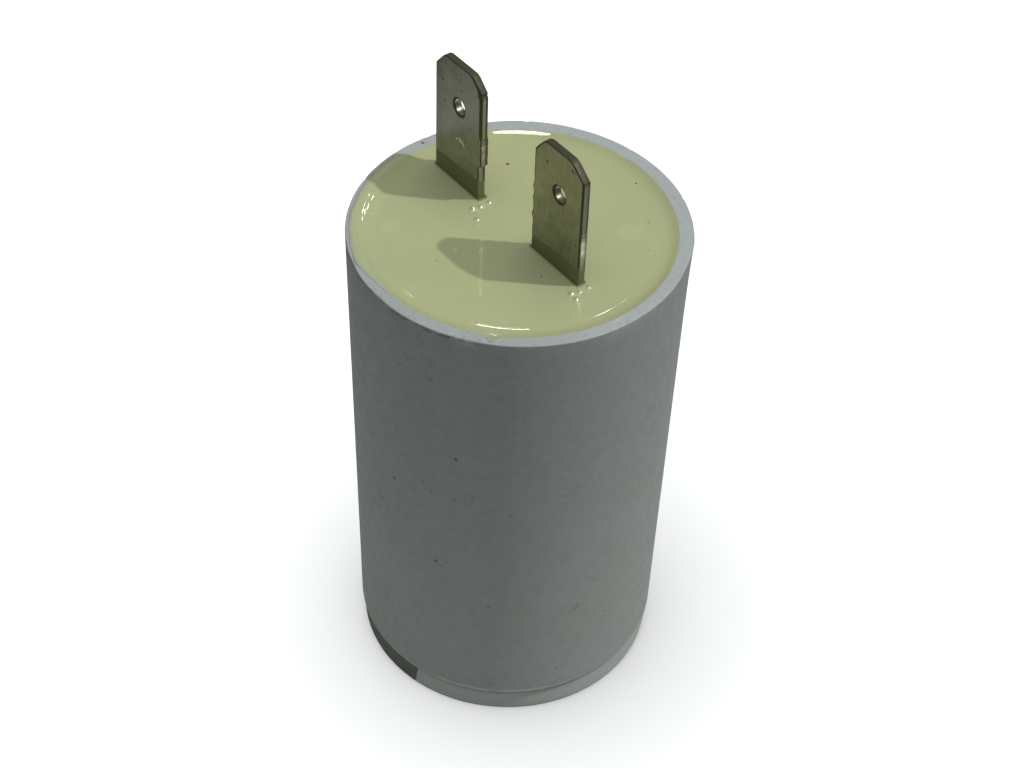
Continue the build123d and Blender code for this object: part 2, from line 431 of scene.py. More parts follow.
def foot_layers(tree, place, height, around):
    """Painted light on the lip's lower edge and on the foot ring, painted shade just under the lip,
    a painted contact shadow along the bottom, and a darker stretch of the foot ring.

    The darker stretch's ends lean: it lies where around - lean * (height - foot height) is between
    the stretch's start and end angles.
    """
    # painted light: a pale line along the lip's lower edge, stronger towards the front
    lip = within(tree, height, (LIP_TOP - 0.1) * MM, (LIP_TOP + 0.22) * MM, 0.08 * MM)
    at_front = within(tree, around, math.radians(-68), math.radians(-14), 0.15)
    strength = add_node(tree, "MapRange", {0: at_front, 3: 0.18, 4: 0.62})
    lip_light_breakup = grain(tree, place, 1.6, 3.0)
    lip_light_breakup = add_node(tree, "MapRange", {**SMOOTH, 0: lip_light_breakup, 1: 0.35, 2: 0.60, 3: 0.35})
    lip_painted_light = add_node(tree, "Math", {**TIMES, 0: lip, 1: strength})
    lip_painted_light = add_node(tree, "Math", {**TIMES, 0: lip_painted_light, 1: lip_light_breakup})

    # painted light: the foot ring is painted lighter than the side above it
    foot = add_node(tree, "MapRange", {
        **SMOOTH, 0: height, 1: (FOOT_H - 0.1) * MM, 2: (FOOT_H + 0.1) * MM, 3: 0.6, 4: 0.0,
    })
    # painted shade: a dark line on the foot ring just under the lip
    crease = within(tree, height, (FOOT_H - 0.28) * MM, (FOOT_H + 0.02) * MM, 0.07 * MM)
    crease = add_node(tree, "Math", {**TIMES, 0: crease, 1: 0.25})
    # painted shadow: a dark contact line along the bottom of the foot, beside the darker stretch
    painted_contact_shadow = within(tree, height, -1.0 * MM, 0.14 * MM, 0.05 * MM)
    beside_dark_stretch = within(tree, around, DARK_STRETCH_END, math.radians(-50), 0.02)
    for factor in (beside_dark_stretch, 0.75):
        painted_contact_shadow = add_node(tree, "Math", {**TIMES, 0: painted_contact_shadow, 1: factor})

    # a darker stretch of the foot ring, whose ends lean
    lean = add_node(tree, "Math", {**TIMES, 0: height, 1: -DARK_STRETCH_LEAN})
    leaning = add_node(tree, "Math", {**PLUS, 0: around, 1: lean})
    leaning = add_node(tree, "Math", {**PLUS, 0: leaning, 1: DARK_STRETCH_LEAN * FOOT_H * MM})
    dark_stretch = within(tree, leaning, DARK_STRETCH_START, DARK_STRETCH_END, 0.006)
    on_foot = add_node(tree, "MapRange", {
        **SMOOTH, 0: height, 1: FOOT_H * MM, 2: (FOOT_H + 0.06) * MM, 3: 0.93, 4: 0.0,
    })
    dark_stretch = add_node(tree, "Math", {**TIMES, 0: dark_stretch, 1: on_foot})
    return [
        (lip_painted_light, "#d9dedc"), (foot, "#cdd2d1"), (crease, "#5c6059"), (painted_contact_shadow, "#33362d"),
        (dark_stretch, "#57584f"),
    ]


# %% Glass-filled polyester: the material


def make_case_plastic():
    """IOR 1.57 and roughness 0.5 to 0.62: matt, with only a wide soft sheen."""
    material, tree, surface, place = new_material("glass_filled_polyester")
    broad = grain(tree, place, 9.0, 3.0)
    fine = grain(tree, place, 0.9, 3.0)
    skin = grain(tree, place, 0.16, 1.0)
    split = add_node(tree, "SeparateXYZ", {0: place}).node.outputs
    height = split["Z"]
    around = add_node(tree, "Math", {"operation": "ARCTAN2", 0: split["Y"], 1: split["X"]})
    blotches = add_node(tree, "MapRange", {**SMOOTH, 0: broad, 1: 0.35, 2: 0.65})
    base = add_node(tree, "Mix", {**COLOUR, 0: blotches, 6: "#a1a7a6", 7: "#a4aaab"}, 2)
    dark_marks = add_node(tree, "Math", {**TIMES, 0: specks(tree, place, CASE_SPECKS), 1: 0.8})
    layers = (
        side_layers(tree, place, around, fine, skin) + rim_layers(tree, place, height, around)
        + foot_layers(tree, place, height, around) + [(dark_marks, "#3a3e37")]
    )
    for amount, colour in layers:
        base = add_node(tree, "Mix", {**COLOUR, 0: amount, 6: base, 7: colour}, 2)
    tree.links.new(base, surface.inputs["Base Color"])
    dull = add_node(tree, "MapRange", {**SMOOTH, 0: fine, 1: 0.3, 2: 0.7, 3: 0.5, 4: 0.62})
    tree.links.new(dull, surface.inputs["Roughness"])
    surface.inputs["IOR"].default_value = 1.57
    bump = add_node(tree, "Bump", {"Distance": 0.012 * MM, "Height": skin})
    bump = add_node(tree, "Bump", {"Distance": 0.02 * MM, "Height": fine, "Normal": bump})
    tree.links.new(bump, surface.inputs["Normal"])
    print(material.name, "layers", len(layers))
    return material


CASE_PLASTIC = make_case_plastic()

# %% [markdown]
# ## The potting resin's finish
#
# The resin is cast polyurethane, yellow-green, with a fine mineral filler that makes it opaque a
# little under the skin. Its free surface set in air, so it is smooth and glossy. Where it is
# only a film over the rim, the filler can't hide what is under it. Where it meets each blade, its
# colour is darkened as painted shade, and two pale patches on the flat are painted reflections.
# The mesh carries the film and the painted shade as two attributes, worked out with the shape.

# %% Cast polyurethane, glossy
RESIN_SPECKS = [
    (-8.10, 4.93, RESIN_Z, 0.17),
    (0.8, 12.5, RESIN_Z + 0.15, 0.11),
    (7.24, -9.95, RESIN_Z + 0.1, 0.10),
    (5.69, -1.95, RESIN_Z, 0.08),
    (-12.6, 0.9, RESIN_Z + 0.15, 0.10),
]
RESIN_SMUDGES = [
    (5.5, 10.0, RESIN_Z, 0.16),
    (-1.14, -7.96, RESIN_Z, 0.16),
    (8.4, 7.6, RESIN_Z, 0.12),
]
# two pale patches painted on the flat as soft reflections of lamps
RESIN_PAINTED_REFLECTIONS = [(-7.06, -8.58, RESIN_Z, 0.95), (5.69, 7.94, RESIN_Z, 1.1)]


def make_resin_finish():
    """IOR 1.5 and roughness near 0.04: a poured skin that mirrors small lamps as dots and lines."""
    material, tree, surface, place = new_material("cast_polyurethane")
    cloud = grain(tree, place, 7.0, 3.0)
    fleck = grain(tree, place, 0.5, 2.0)
    over_rim = add_node(tree, "Attribute", {"attribute_name": "over_rim"}, "Fac")
    # painted shade: the resin darker where it meets each blade
    shade_at_blades = add_node(tree, "Attribute", {"attribute_name": "shade_at_blades"}, "Fac")
    tones = add_node(tree, "MapRange", {**SMOOTH, 0: cloud, 1: 0.35, 2: 0.65})
    base = add_node(tree, "Mix", {**COLOUR, 0: tones, 6: "#a8ae85", 7: "#adb186"}, 2)
    darker = add_node(tree, "MapRange", {**SMOOTH, 0: fleck, 1: 0.4, 2: 0.75, 4: 0.25})
    layers = [(darker, "#a0a67e"), (over_rim, "#919789"), (shade_at_blades, "#565a38")]
    # the first row paints pale patches of reflected light on the flat
    for spots, strength, colour in (
        (RESIN_PAINTED_REFLECTIONS, 0.13, "#c6cba4"), (RESIN_SMUDGES, 0.3, "#5a5d44"), (RESIN_SPECKS, 0.85, "#35352a"),
    ):
        marks = add_node(tree, "Math", {**TIMES, 0: specks(tree, place, spots), 1: strength})
        layers.append((marks, colour))
    for amount, colour in layers:
        base = add_node(tree, "Mix", {**COLOUR, 0: amount, 6: base, 7: colour}, 2)
    tree.links.new(base, surface.inputs["Base Color"])
    gloss = add_node(tree, "MapRange", {**SMOOTH, 0: cloud, 1: 0.3, 2: 0.7, 3: 0.03, 4: 0.045})
    matt = add_node(tree, "Math", {**TIMES, 0: over_rim, 1: 0.46})
    roughness = add_node(tree, "Math", {**PLUS, 0: gloss, 1: matt})
    tree.links.new(roughness, surface.inputs["Roughness"])
    surface.inputs["IOR"].default_value = 1.5
    swell = grain(tree, place, 5.0, 2.0)
    bump = add_node(tree, "Bump", {"Distance": 0.004 * MM, "Height": swell})
    tree.links.new(bump, surface.inputs["Normal"])
    print(material.name, "layers", len(layers))
    return material


RESIN_FINISH = make_resin_finish()

# %% [markdown]
# ## The blades' finish
#
# Each blade is pressed from brass strip and plated with tin. The tin has gone dull and dark, and
# it still mirrors the resin softly, with rolling marks along the blade. The pressed edges are
# torn and darker: the mesh marks them with the attribute edge. Resin crept up each blade before
# it set and left an olive film, higher at one end.

# %% The film of resin at a blade's root


def film_cover(tree, split, mottle, low, high, film):
    """1 where the film covers the blade, 0 above its top, which the mottle makes wavy.

    film is (left, right, drop), and its top is at
    RESIN_Z + left + (right - left) * (x - x_left) / width - drop * (y + T/2).
    """
    left, right, drop = film
    film_top = add_node(tree, "MapRange", {
        0: split["X"], 1: low[0] * MM, 2: high[0] * MM,
        3: (RESIN_Z + left) * MM, 4: (RESIN_Z + right) * MM,
    })
    depth = add_node(tree, "Math", {**PLUS, 0: split["Y"], 1: BLADE_T / 2 * MM})
    depth = add_node(tree, "Math", {**TIMES, 0: depth, 1: drop})
    film_top = add_node(tree, "Math", {**MINUS, 0: film_top, 1: depth})
    wavy = add_node(tree, "Math", {**TIMES, 0: mottle, 1: 0.3 * MM})
    above = add_node(tree, "Math", {**MINUS, 0: split["Z"], 1: film_top})
    above = add_node(tree, "Math", {**PLUS, 0: above, 1: wavy})
    return add_node(tree, "MapRange", {
        **SMOOTH, 0: above, 1: 0.08 * MM, 2: 0.22 * MM, 3: 1.0, 4: 0.0,
    })


# %% Dull tin plate


def make_blade_finish(name, low, high, tones, film, spots, painted_glints):
    """Roughness 0.25 to 0.38 and a metal's default IOR, with tones in a grain along the blade.

    spots are dark specks; the last list holds painted glints, white marks raised a little by the
    bump, each (x, y, z, radius).
    """
    material, tree, surface, place = new_material(name)
    rolled = grain(tree, place, 0.22, 3.0, (1.0, 1.0, 0.06))
    mottle = grain(tree, place, 0.8, 4.0, rough=0.65)
    wide = grain(tree, place, 3.5, 2.0)
    edge = add_node(tree, "Attribute", {"attribute_name": "edge"}, "Fac")
    split = add_node(tree, "SeparateXYZ", {0: place}).node.outputs

    blotches = add_node(tree, "MapRange", {**SMOOTH, 0: mottle, 1: 0.35, 2: 0.70})
    tin = add_node(tree, "Mix", {**COLOUR, 0: blotches, 6: tones[0], 7: tones[1]}, 2)
    clouded = add_node(tree, "MapRange", {**SMOOTH, 0: wide, 1: 0.40, 2: 0.65, 4: 0.5})
    drawn = add_node(tree, "MapRange", {**SMOOTH, 0: rolled, 1: 0.40, 2: 0.75, 4: 0.3})
    ragged = add_node(tree, "Math", {**TIMES, 0: mottle, 1: 0.6})
    torn = add_node(tree, "Math", {**PLUS, 0: edge, 1: ragged})
    torn = add_node(tree, "MapRange", {**SMOOTH, 0: torn, 1: 0.55, 2: 1.10, 4: 0.95})
    dark_marks = add_node(tree, "Math", {**TIMES, 0: specks(tree, place, spots), 1: 0.8})
    covered = film_cover(tree, split, mottle, low, high, film)
    # painted glints: white marks on the face, raised a little by the bump below
    bright = specks(tree, place, painted_glints)
    for amount, colour in (
        (clouded, "#8f8f74"), (drawn, "#bfbdb0"), (torn, "#53513d"), (dark_marks, "#26251c"),
        (covered, "#6b6f43"), (bright, "#fffbe8"),
    ):
        tin = add_node(tree, "Mix", {**COLOUR, 0: amount, 6: tin, 7: colour}, 2)
    tree.links.new(tin, surface.inputs["Base Color"])

    dirty = add_node(tree, "Math", {**TIMES, 0: torn, 1: 0.45})
    bare = 1.0
    for hidden in (covered, dirty):
        bare = add_node(tree, "Math", {**MINUS, 0: bare, 1: hidden})
    bare = add_node(tree, "Math", {**MINUS, 0: bare, 1: bright, "use_clamp": True})
    tree.links.new(bare, surface.inputs["Metallic"])
    dull = add_node(tree, "MapRange", {**SMOOTH, 0: mottle, 1: 0.3, 2: 0.7, 3: 0.25, 4: 0.38})
    rougher = add_node(tree, "Math", {**TIMES, 0: edge, 1: 0.25})
    smoother = add_node(tree, "Math", {**TIMES, 0: covered, 1: 0.12})
    roughness = add_node(tree, "Math", {**PLUS, 0: dull, 1: rougher})
    roughness = add_node(tree, "Math", {**MINUS, 0: roughness, 1: smoother})
    tree.links.new(roughness, surface.inputs["Roughness"])
    bump = add_node(tree, "Bump", {"Distance": 0.01 * MM, "Height": rolled})
    bump = add_node(tree, "Bump", {"Distance": 0.012 * MM, "Height": mottle, "Normal": bump})
    bump = add_node(tree, "Bump", {"Distance": 0.3 * MM, "Height": bright, "Normal": bump})
    tree.links.new(bump, surface.inputs["Normal"])
    return material


# %% [markdown]
# ## Meshes from numbers
#
# The cup and the resin are solids of revolution with a few departures from round, and the
# blades are plates with one hole. Both kinds are grids: rows of points, where each row is a
# closed ring. The helper below joins the rings with four-cornered faces and closes each end
# with a point, so the shell has no opening. Everything is worked out for all points at once.

# %% Rings to a closed mesh


def put_mesh(name, points, quads, triangles, material, flat_quads=None):
    """Put points in millimetres, and faces given as arrays of point numbers, into a mesh.

    Faces are shaded smooth, apart from the quads that flat_quads marks.
    """
    mesh = bpy.data.meshes.new(name)
    mesh.vertices.add(len(points))
    mesh.vertices.foreach_set("co", (points * MM).astype(np.float32).ravel())
    corner_points = np.concatenate([quads.ravel(), triangles.ravel()]).astype(np.int32)
    sizes = np.concatenate([np.full(len(quads), 4), np.full(len(triangles), 3)])
    mesh.loops.add(len(corner_points))
    mesh.loops.foreach_set("vertex_index", corner_points)
    mesh.polygons.add(len(sizes))
    starts = np.concatenate([[0], np.cumsum(sizes)[:-1]]).astype(np.int32)
    mesh.polygons.foreach_set("loop_start", starts)
    smooth = np.ones(len(sizes), dtype=bool)
    if flat_quads is not None:
        smooth[:len(quads)] = ~flat_quads
    mesh.polygons.foreach_set("use_smooth", smooth)
    mesh.update(calc_edges=True)
    mesh.materials.append(material)
    piece = bpy.data.objects.new(name, mesh)
    bpy.context.collection.objects.link(piece)
    print(name, "points", len(points), "faces", len(sizes))
    return piece


def mark_points(piece, name, values):
    """Store one number per point of the mesh, for its material to read."""
    attribute = piece.data.attributes.new(name, "FLOAT", "POINT")
    attribute.data.foreach_set("value", np.asarray(values, np.float32).ravel())


def ring_quads(rows, columns, close_rows=False):
    """Faces between neighbouring rows, each row a closed ring of columns points."""
    last = rows if close_rows else rows - 1
    i, j = np.meshgrid(np.arange(last), np.arange(columns), indexing="ij")
    i_next, j_next = (i + 1) % rows, (j + 1) % columns
    faces = [i * columns + j, i * columns + j_next, i_next * columns + j_next, i_next * columns + j]
    return np.stack(faces, -1).reshape(-1, 4)


def put_shell(name, r, z, around, material):
    """A closed shell: row i is the ring (r cos a, r sin a, z), with a pole at each end.

    Rows run from the underside's middle, out, up and back in to the top's middle, which makes
    every face point outwards.
    """
    rows, columns = r.shape
    points = np.stack([r * np.cos(around), r * np.sin(around), z], -1).reshape(-1, 3)
    poles = np.array([[0.0, 0.0, z[0].mean()], [0.0, 0.0, z[-1].mean()]])
    first, last = len(points), len(points) + 1
    j = np.arange(columns)
    j_next = (j + 1) % columns
    top = (rows - 1) * columns
    fans = np.concatenate([
        np.stack([np.full(columns, first), j_next, j], -1),
        np.stack([top + j, top + j_next, np.full(columns, last)], -1),
    ])
    return put_mesh(name, np.concatenate([points, poles]), ring_quads(rows, columns), fans, material)


# %% Profiles


def rounded(corner_points, radii, steps=7):
    """A polyline with each inner corner swapped for an arc of its radius.

    The arc of radius R touches both runs R / tan(half the inner angle) from the corner.
    """
    out = [np.array(corner_points[0], float)]
    for before, here, after, radius in zip(corner_points, corner_points[1:], corner_points[2:], radii):
        here = np.array(here, float)
        u = np.array(before) - here
        v = np.array(after) - here
        u, v = u / np.linalg.norm(u), v / np.linalg.norm(v)
        half = math.acos(np.clip(u @ v, -1, 1)) / 2
        middle = here + (u + v) / np.linalg.norm(u + v) * radius / math.sin(half)
        start = here + u * radius / math.tan(half) - middle
        end = here + v * radius / math.tan(half) - middle
        share = np.linspace(0, 1, steps)[:, None]
        arc = start * (1 - share) + end * share
        out.extend(middle + arc / np.linalg.norm(arc, axis=1)[:, None] * radius)
    out.append(np.array(corner_points[-1], float))
    return np.array(out)


def refined(profile, spacing):
    """Add points so that no run of the profile is longer than spacing."""
    runs = np.linalg.norm(np.diff(profile, axis=0), axis=1)
    counts = np.maximum(1, np.ceil(runs / spacing)).astype(int)
    parts = [
        a + (b - a) * np.linspace(0, 1, n, endpoint=False)[:, None]
        for a, b, n in zip(profile, profile[1:], counts)
    ]
    return np.concatenate(parts + [profile[-1:]])


def ripple(angle, waves):
    """A sum of (turns, height, phase) cosine waves round the circle."""
    return sum(height * np.cos(turns * angle + phase) for turns, height, phase in waves)


def bell(value, centre, width):
    """1 at the centre, falling off as exp(-(distance / width) squared)."""
    return np.exp(-(((value - centre) / width) ** 2))


def bump_at(angle, centre, width):
    """A bell round a direction: the angle is in radians, its centre and width in degrees."""
    off = (np.degrees(angle) - centre + 180) % 360 - 180
    return bell(off, 0, width)


def eased(value, low, high):
    """0 below low, 1 above high, and the smooth step 3s^2 - 2s^3 between them."""
    s = np.clip((value - low) / (high - low), 0, 1)
    return s * s * (3 - 2 * s)


# %% [markdown]
# ## The cup
#
# One profile, from the middle of the underside out over the foot ring, the lip and the drafted
# side, over the rim and down inside, is carried round the axis. The real rim isn't perfect: it
# waves a little, it spread outwards at the back, its outer edge is worn back in places and
# nicked, and one spot at the front was dented while the resin was soft.

# %% The rim's faults
INNER_WAVES = [(3, 0.012, 0.4), (11, 0.012, 1.9), (23, 0.010, 0.7), (47, 0.008, 2.2)]
OUTER_WAVES = [(5, 0.012, 1), (37, 0.007, 0)]
FLARE = 0.16
FLARE_REACH = 2.5
FLARE_STARTS = (32, 48)  # degrees
FLARE_ENDS = (147, 163)  # degrees
DENT_AT = -46.0  # degrees
DENT_WIDTH = 2.6  # degrees
DENT_DEPTH = 0.2
NICK_REACH = 0.3
NICK_DOWN = 0.6  # of a nick's depth, taken off the top too
RIM_NICKS = [
    # direction, half-width, depth: first the long worn stretches, then the nicks
    (-55.0, 6.0, 0.14), (-90.0, 6.0, 0.09), (0.0, 11.0, 0.11), (-108.0, 4.0, 0.06),
    (-76.0, 0.5, 0.07), (-69.0, 0.35, 0.05), (-58.5, 0.5, 0.06), (-52.0, 0.3, 0.08),
    (-33.0, 0.5, 0.05), (-19.0, 0.4, 0.06), (-4.0, 0.5, 0.05), (12.0, 0.4, 0.06),
    (31.0, 0.6, 0.05), (70.0, 0.5, 0.06), (101.0, 0.4, 0.05), (140.0, 0.6, 0.07),
    (176.0, 0.5, 0.05), (-152.0, 0.6, 0.06), (-118.0, 0.5, 0.07), (-97.0, 0.4, 0.08),
    (-88.0, 0.3, 0.05),
]


def rim_dent(around, r):
    """1 in the middle of the dent, fading round the rim and out towards its outer skin."""
    return bump_at(around, DENT_AT, DENT_WIDTH) * np.clip((RIM_R - 0.15 - r) / 0.5, 0, 1)


def nicked(r, z, around):
    """Each nick takes its depth off r, and a share of it off z, near the rim's outer edge."""
    for centre, width, depth in RIM_NICKS:
        nick = bump_at(around, centre, width) * depth
        on_skin = np.clip((r - (RIM_R - 2 * NICK_REACH)) / NICK_REACH, 0, 1)
        at_edge = bell(z, RIM_Z, NICK_REACH) * on_skin
        r = r - nick * at_edge
        z = z - NICK_DOWN * nick * at_edge
    return r, z


print("worn stretches and nicks", len(RIM_NICKS))

# %% Cup
CUP_COLUMNS = 480
POLE_R = 0.3
GATE_R = 1.6  # the mould's gate left a shallow pit in the underside
GATE_DEPTH = 0.2
PROFILE_SPACING = 1.2
WAVY_BELOW_RIM = 1.2
DENT_BELOW_RIM = 0.8


def cup_profile():
    """Half the cup's section: out under it, up outside, over the rim and down inside."""
    ring_in = FOOT_R - FOOT_RING
    gate_z = RECESS + GATE_DEPTH
    return rounded(
        [
            (POLE_R, gate_z), (GATE_R, gate_z), (GATE_R + 0.02, RECESS), (ring_in - 0.02, RECESS),
            (ring_in, 0), (FOOT_R, 0), (FOOT_R, FOOT_H), (outer_r(LIP_TOP) - LIP_DEPTH, FOOT_H),
            (outer_r(LIP_TOP), LIP_TOP), (RIM_R, RIM_Z), (RIM_R - WALL, RIM_Z),
            (inner_r(FLOOR_TOP), FLOOR_TOP), (POLE_R, FLOOR_TOP),
        ],
        [0.06, 0.06, 0.1, 0.15, 0.15, 0.06, 0.06, 0.1, 0.12, 0.12, 1.0],
    )


def make_cup():
    """The profile carried round the axis: a ring of radius r at height z, moved near the rim.

    The radius gets waves that grow with the square of the height over the last WAVY_BELOW_RIM,
    and a flare of FLARE * exp((z - RIM_Z) / FLARE_REACH) on the outside at the back. Then come
    the nicks, and the dent lowers z.
    """
    profile = refined(cup_profile(), PROFILE_SPACING)
    around = np.arange(CUP_COLUMNS) * 2 * math.pi / CUP_COLUMNS
    r = np.repeat(profile[:, :1], CUP_COLUMNS, 1)
    z = np.repeat(profile[:, 1:], CUP_COLUMNS, 1)
    near_rim = np.clip((z - (RIM_Z - WAVY_BELOW_RIM)) / WAVY_BELOW_RIM, 0, 1) ** 2
    inside = np.clip((RIM_R - 0.5 - r) / 0.4, 0, 1)
    outside = (1 - inside) * 0.5
    r = r + near_rim * (inside * ripple(around, INNER_WAVES) + outside * ripple(around, OUTER_WAVES))
    degrees = np.degrees(around) % 360
    spread = eased(degrees, *FLARE_STARTS) * (1 - eased(degrees, *FLARE_ENDS))
    outer_skin = eased(r, RIM_R - 1.0, RIM_R - 0.6)
    r = r + FLARE * spread * outer_skin * np.exp((z - RIM_Z) / FLARE_REACH)
    r, z = nicked(r, z, around)
    near_top = np.clip((z - (RIM_Z - DENT_BELOW_RIM)) / DENT_BELOW_RIM, 0, 1)
    z = z - DENT_DEPTH * rim_dent(around, r) * near_top
    piece = put_shell("moulded_cup", r, z, around, CASE_PLASTIC)
    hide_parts("case")
    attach(piece, "root")


make_cup()

# %% [markdown]
# ## The resin
#
# Before it set, the resin climbed whatever it touched. A liquid's edge falls off like
# exp(-distance / reach), with a reach set by its surface tension, so that is the formula at the
# wall and round both blades. At the wall it wetted the rim's inner edge all round. On one side
# it ran half-way across the rim as a thin film, and at the dent one drip crossed the rim. Small
# drops, left from the pouring, stand beside the blades.

# %% Sizes of the resin's surface
RESIN_COLUMNS = 460
INNER_EDGE = RIM_R - WALL
WALL_RISE = 0.58
WALL_REACH = 0.7
WALL_SOFTNESS = 0.15
BLADE_RISE = 0.28
BLADE_REACH = 0.5
# width of the painted shade round each blade
BLADE_SHADE_WIDTH = 0.14
EDGE_R = 14.05
EDGE_WAVES = [(9, 0.022, 0.3), (17, 0.03, 1.1), (41, 0.025, 2.0)]
FILM_REACH = 0.65
FILM_STARTS = (184, 194)  # degrees
FILM_ENDS = (252, 272)  # degrees
DRIP_WIDTH = 2.2  # degrees
DRIP_REACH = 0.62
DRIP_HEIGHT = 0.13
DRIP_R = 14.3
DRIP_LENGTH = 0.35
DRIP_STARTS = (13.75, 14.0)
THIN_EDGE = 0.4
SKIN_DROP = 0.024
EDGE_DROP = 0.04
PIP_WIDTH = 0.22
PIPS = [
    # x, y, height
    (8.927, -1.309, 0.175), (9.169, -0.583, 0.150), (9.170, 0.397, 0.148), (9.691, -1.369, 0.179),
    (-4.831, -1.418, 0.193), (-4.609, -0.675, 0.175), (-4.653, 0.317, 0.168), (-3.477, -1.916, 0.196),
]
RING_SPACING = [
    # from, to, step: close together where the blades' ends and the drops are
    (0.5, 1.6, 0.2), (1.6, 2.2, 0.04), (2.2, 3.7, 0.12), (3.7, 5.6, 0.045), (5.6, 8.9, 0.12),
    (8.9, 10.1, 0.04), (10.1, 12.45, 0.12),
]
LAST_RING = 12.4
OUTER_RINGS = 23

# %% Where the resin's points are


def even_steps(weight, count):
    """count places in the turn, closer together where the weight is large."""
    fine = np.linspace(0, 2 * math.pi, 20001)
    total = np.concatenate([[0], np.cumsum(weight((fine[1:] + fine[:-1]) / 2))])
    return np.interp(np.arange(count) * total[-1] / count, total, fine)


def resin_edge(around, drip):
    """Radius at which the resin ends: EDGE_R, further out under the film and the drip, wavy."""
    degrees = np.degrees(around) % 360
    film = eased(degrees, *FILM_STARTS) * (1 - eased(degrees, *FILM_ENDS))
    edge_r = EDGE_R + FILM_REACH * film + (DRIP_REACH - 0.3 * film) * drip
    return edge_r + ripple(around, EDGE_WAVES)


def resin_rings(edge_r):
    """Round rings out to LAST_RING, then rings that go over to the resin's own edge."""
    inner = np.concatenate([
        np.arange(start, stop - 0.001, step) for start, stop, step in RING_SPACING
    ])
    share = np.linspace(0, 1, OUTER_RINGS + 1)[1:, None]
    outer = LAST_RING + share * (edge_r - LAST_RING)
    return np.concatenate([np.repeat(inner[:, None], len(edge_r), 1), outer])


# %% How high the resin stands


def blade_distance(x, y, low, high):
    """Distance from a point to a blade's section, which is a rectangle."""
    dx = np.maximum(np.abs(x - (low[0] + high[0]) / 2) - (high[0] - low[0]) / 2, 0)
    dy = np.maximum(np.abs(y) - BLADE_T / 2, 0)
    return np.hypot(dx, dy)


def resin_height(r, around, edge_r, drip):
    """Height of the surface, and a mark of painted shade that is 1 at each blade and fades out
    close to it.

    At the wall the height is WALL_RISE * exp(-g / WALL_REACH), where g is the distance to the
    wall, softened so that the surface runs over the rim's inner edge without a crease. At a blade
    it is BLADE_RISE * exp(-d / BLADE_REACH), where d is the distance to the blade's section. The
    dent, the drip, a faint swell and the drops are added to that.
    """
    x, y = r * np.cos(around), r * np.sin(around)
    s = r - INNER_EDGE
    softened = 0.5 * (np.sqrt(s * s + WALL_SOFTNESS ** 2) - s)
    thin = eased(r, INNER_EDGE, edge_r)
    z = RESIN_Z + WALL_RISE * np.exp(-softened / WALL_REACH) - SKIN_DROP * thin
    z = z - DENT_DEPTH * rim_dent(around, r) * eased(r, INNER_EDGE - 0.5, INNER_EDGE)
    z = z + DRIP_HEIGHT * drip * bell(r, DRIP_R, DRIP_LENGTH)
    z = z + 0.003 * np.sin(x / 2.1 + 0.6) * np.cos(y / 2.7 - 0.4) * (1 - eased(r, 12.0, 13.4))
    for pip_x, pip_y, height in PIPS:
        z = z + height * np.exp(-((x - pip_x) ** 2 + (y - pip_y) ** 2) / PIP_WIDTH ** 2)
    # painted shade round each blade: 1 at the blade, fading out close to it
    shade_at_blades = np.zeros_like(z)
    for low, high in ((near_low, near_high), (far_low, far_high)):
        d = blade_distance(x, y, low, high)
        z = z + BLADE_RISE * np.exp(-d / BLADE_REACH)
        shade_at_blades = np.maximum(shade_at_blades, bell(d, 0, BLADE_SHADE_WIDTH))
    return z, shade_at_blades


# %% Resin


def make_resin():
    """The pour as a closed shell: its underside, the wall inside the cup, its edge, its surface."""
    around = even_steps(lambda a: 1 + 5 * bell(np.sin(a), 0, 0.4), RESIN_COLUMNS)
    drip = bump_at(around, DENT_AT, DRIP_WIDTH)
    edge_r = resin_edge(around, drip)
    r = resin_rings(edge_r)
    z, shade_at_blades = resin_height(r, around, edge_r, drip)
    over_rim = np.maximum(eased(r, edge_r - THIN_EDGE, edge_r), drip * eased(r, *DRIP_STARTS))

    under_r = np.array([POLE_R, 6.0, 12.0])
    wall_z = np.array([FLOOR_TOP + 1.2, 15.0, 30.0, 45.0, RESIN_Z - 0.4])
    below_r = np.concatenate([under_r, inner_r(wall_z) + 0.01])[:, None]
    below_z = np.concatenate([np.full(3, FLOOR_TOP + 0.02), wall_z])[:, None]
    r_all = np.concatenate([np.repeat(below_r, RESIN_COLUMNS, 1), edge_r[None], r[::-1]])
    z_all = np.concatenate([np.repeat(below_z, RESIN_COLUMNS, 1), z[-1:] - EDGE_DROP, z[::-1]])
    piece = put_shell("poured_resin", r_all, z_all, around, RESIN_FINISH)
    rows = len(r_all) - len(r)
    for name, values in (("shade_at_blades", shade_at_blades), ("over_rim", over_rim)):
        full = np.concatenate([np.repeat(values[-1:], rows, 0), values[::-1]]).ravel()
        mark_points(piece, name, np.concatenate([full, [0, 0]]))
    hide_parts("potting_resin")
    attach(piece, "root")
    print("resin from", round(float(z_all.min()), 2), "to", round(float(z_all.max()), 2))


make_resin()

# %% [markdown]
# ## The blades
#
# A plate with one hole is, to a topologist, a ring: its section runs out along the front face,
# over the sheared edge, back along the rear face and through the hole. Carrying that section
# round the outline gives one closed grid. The press rolled the edges over on one side and left
# small burrs on the other, and the tip is bevelled so that a receptacle slides on.

# %% Outline of a blade
OUTLINE_POINTS = 560
TAIL_HALF = 1.4
SHOULDER_DROP = 14.8
TIP_ZONE = 2.2
TIP_WEIGHT = 4.0


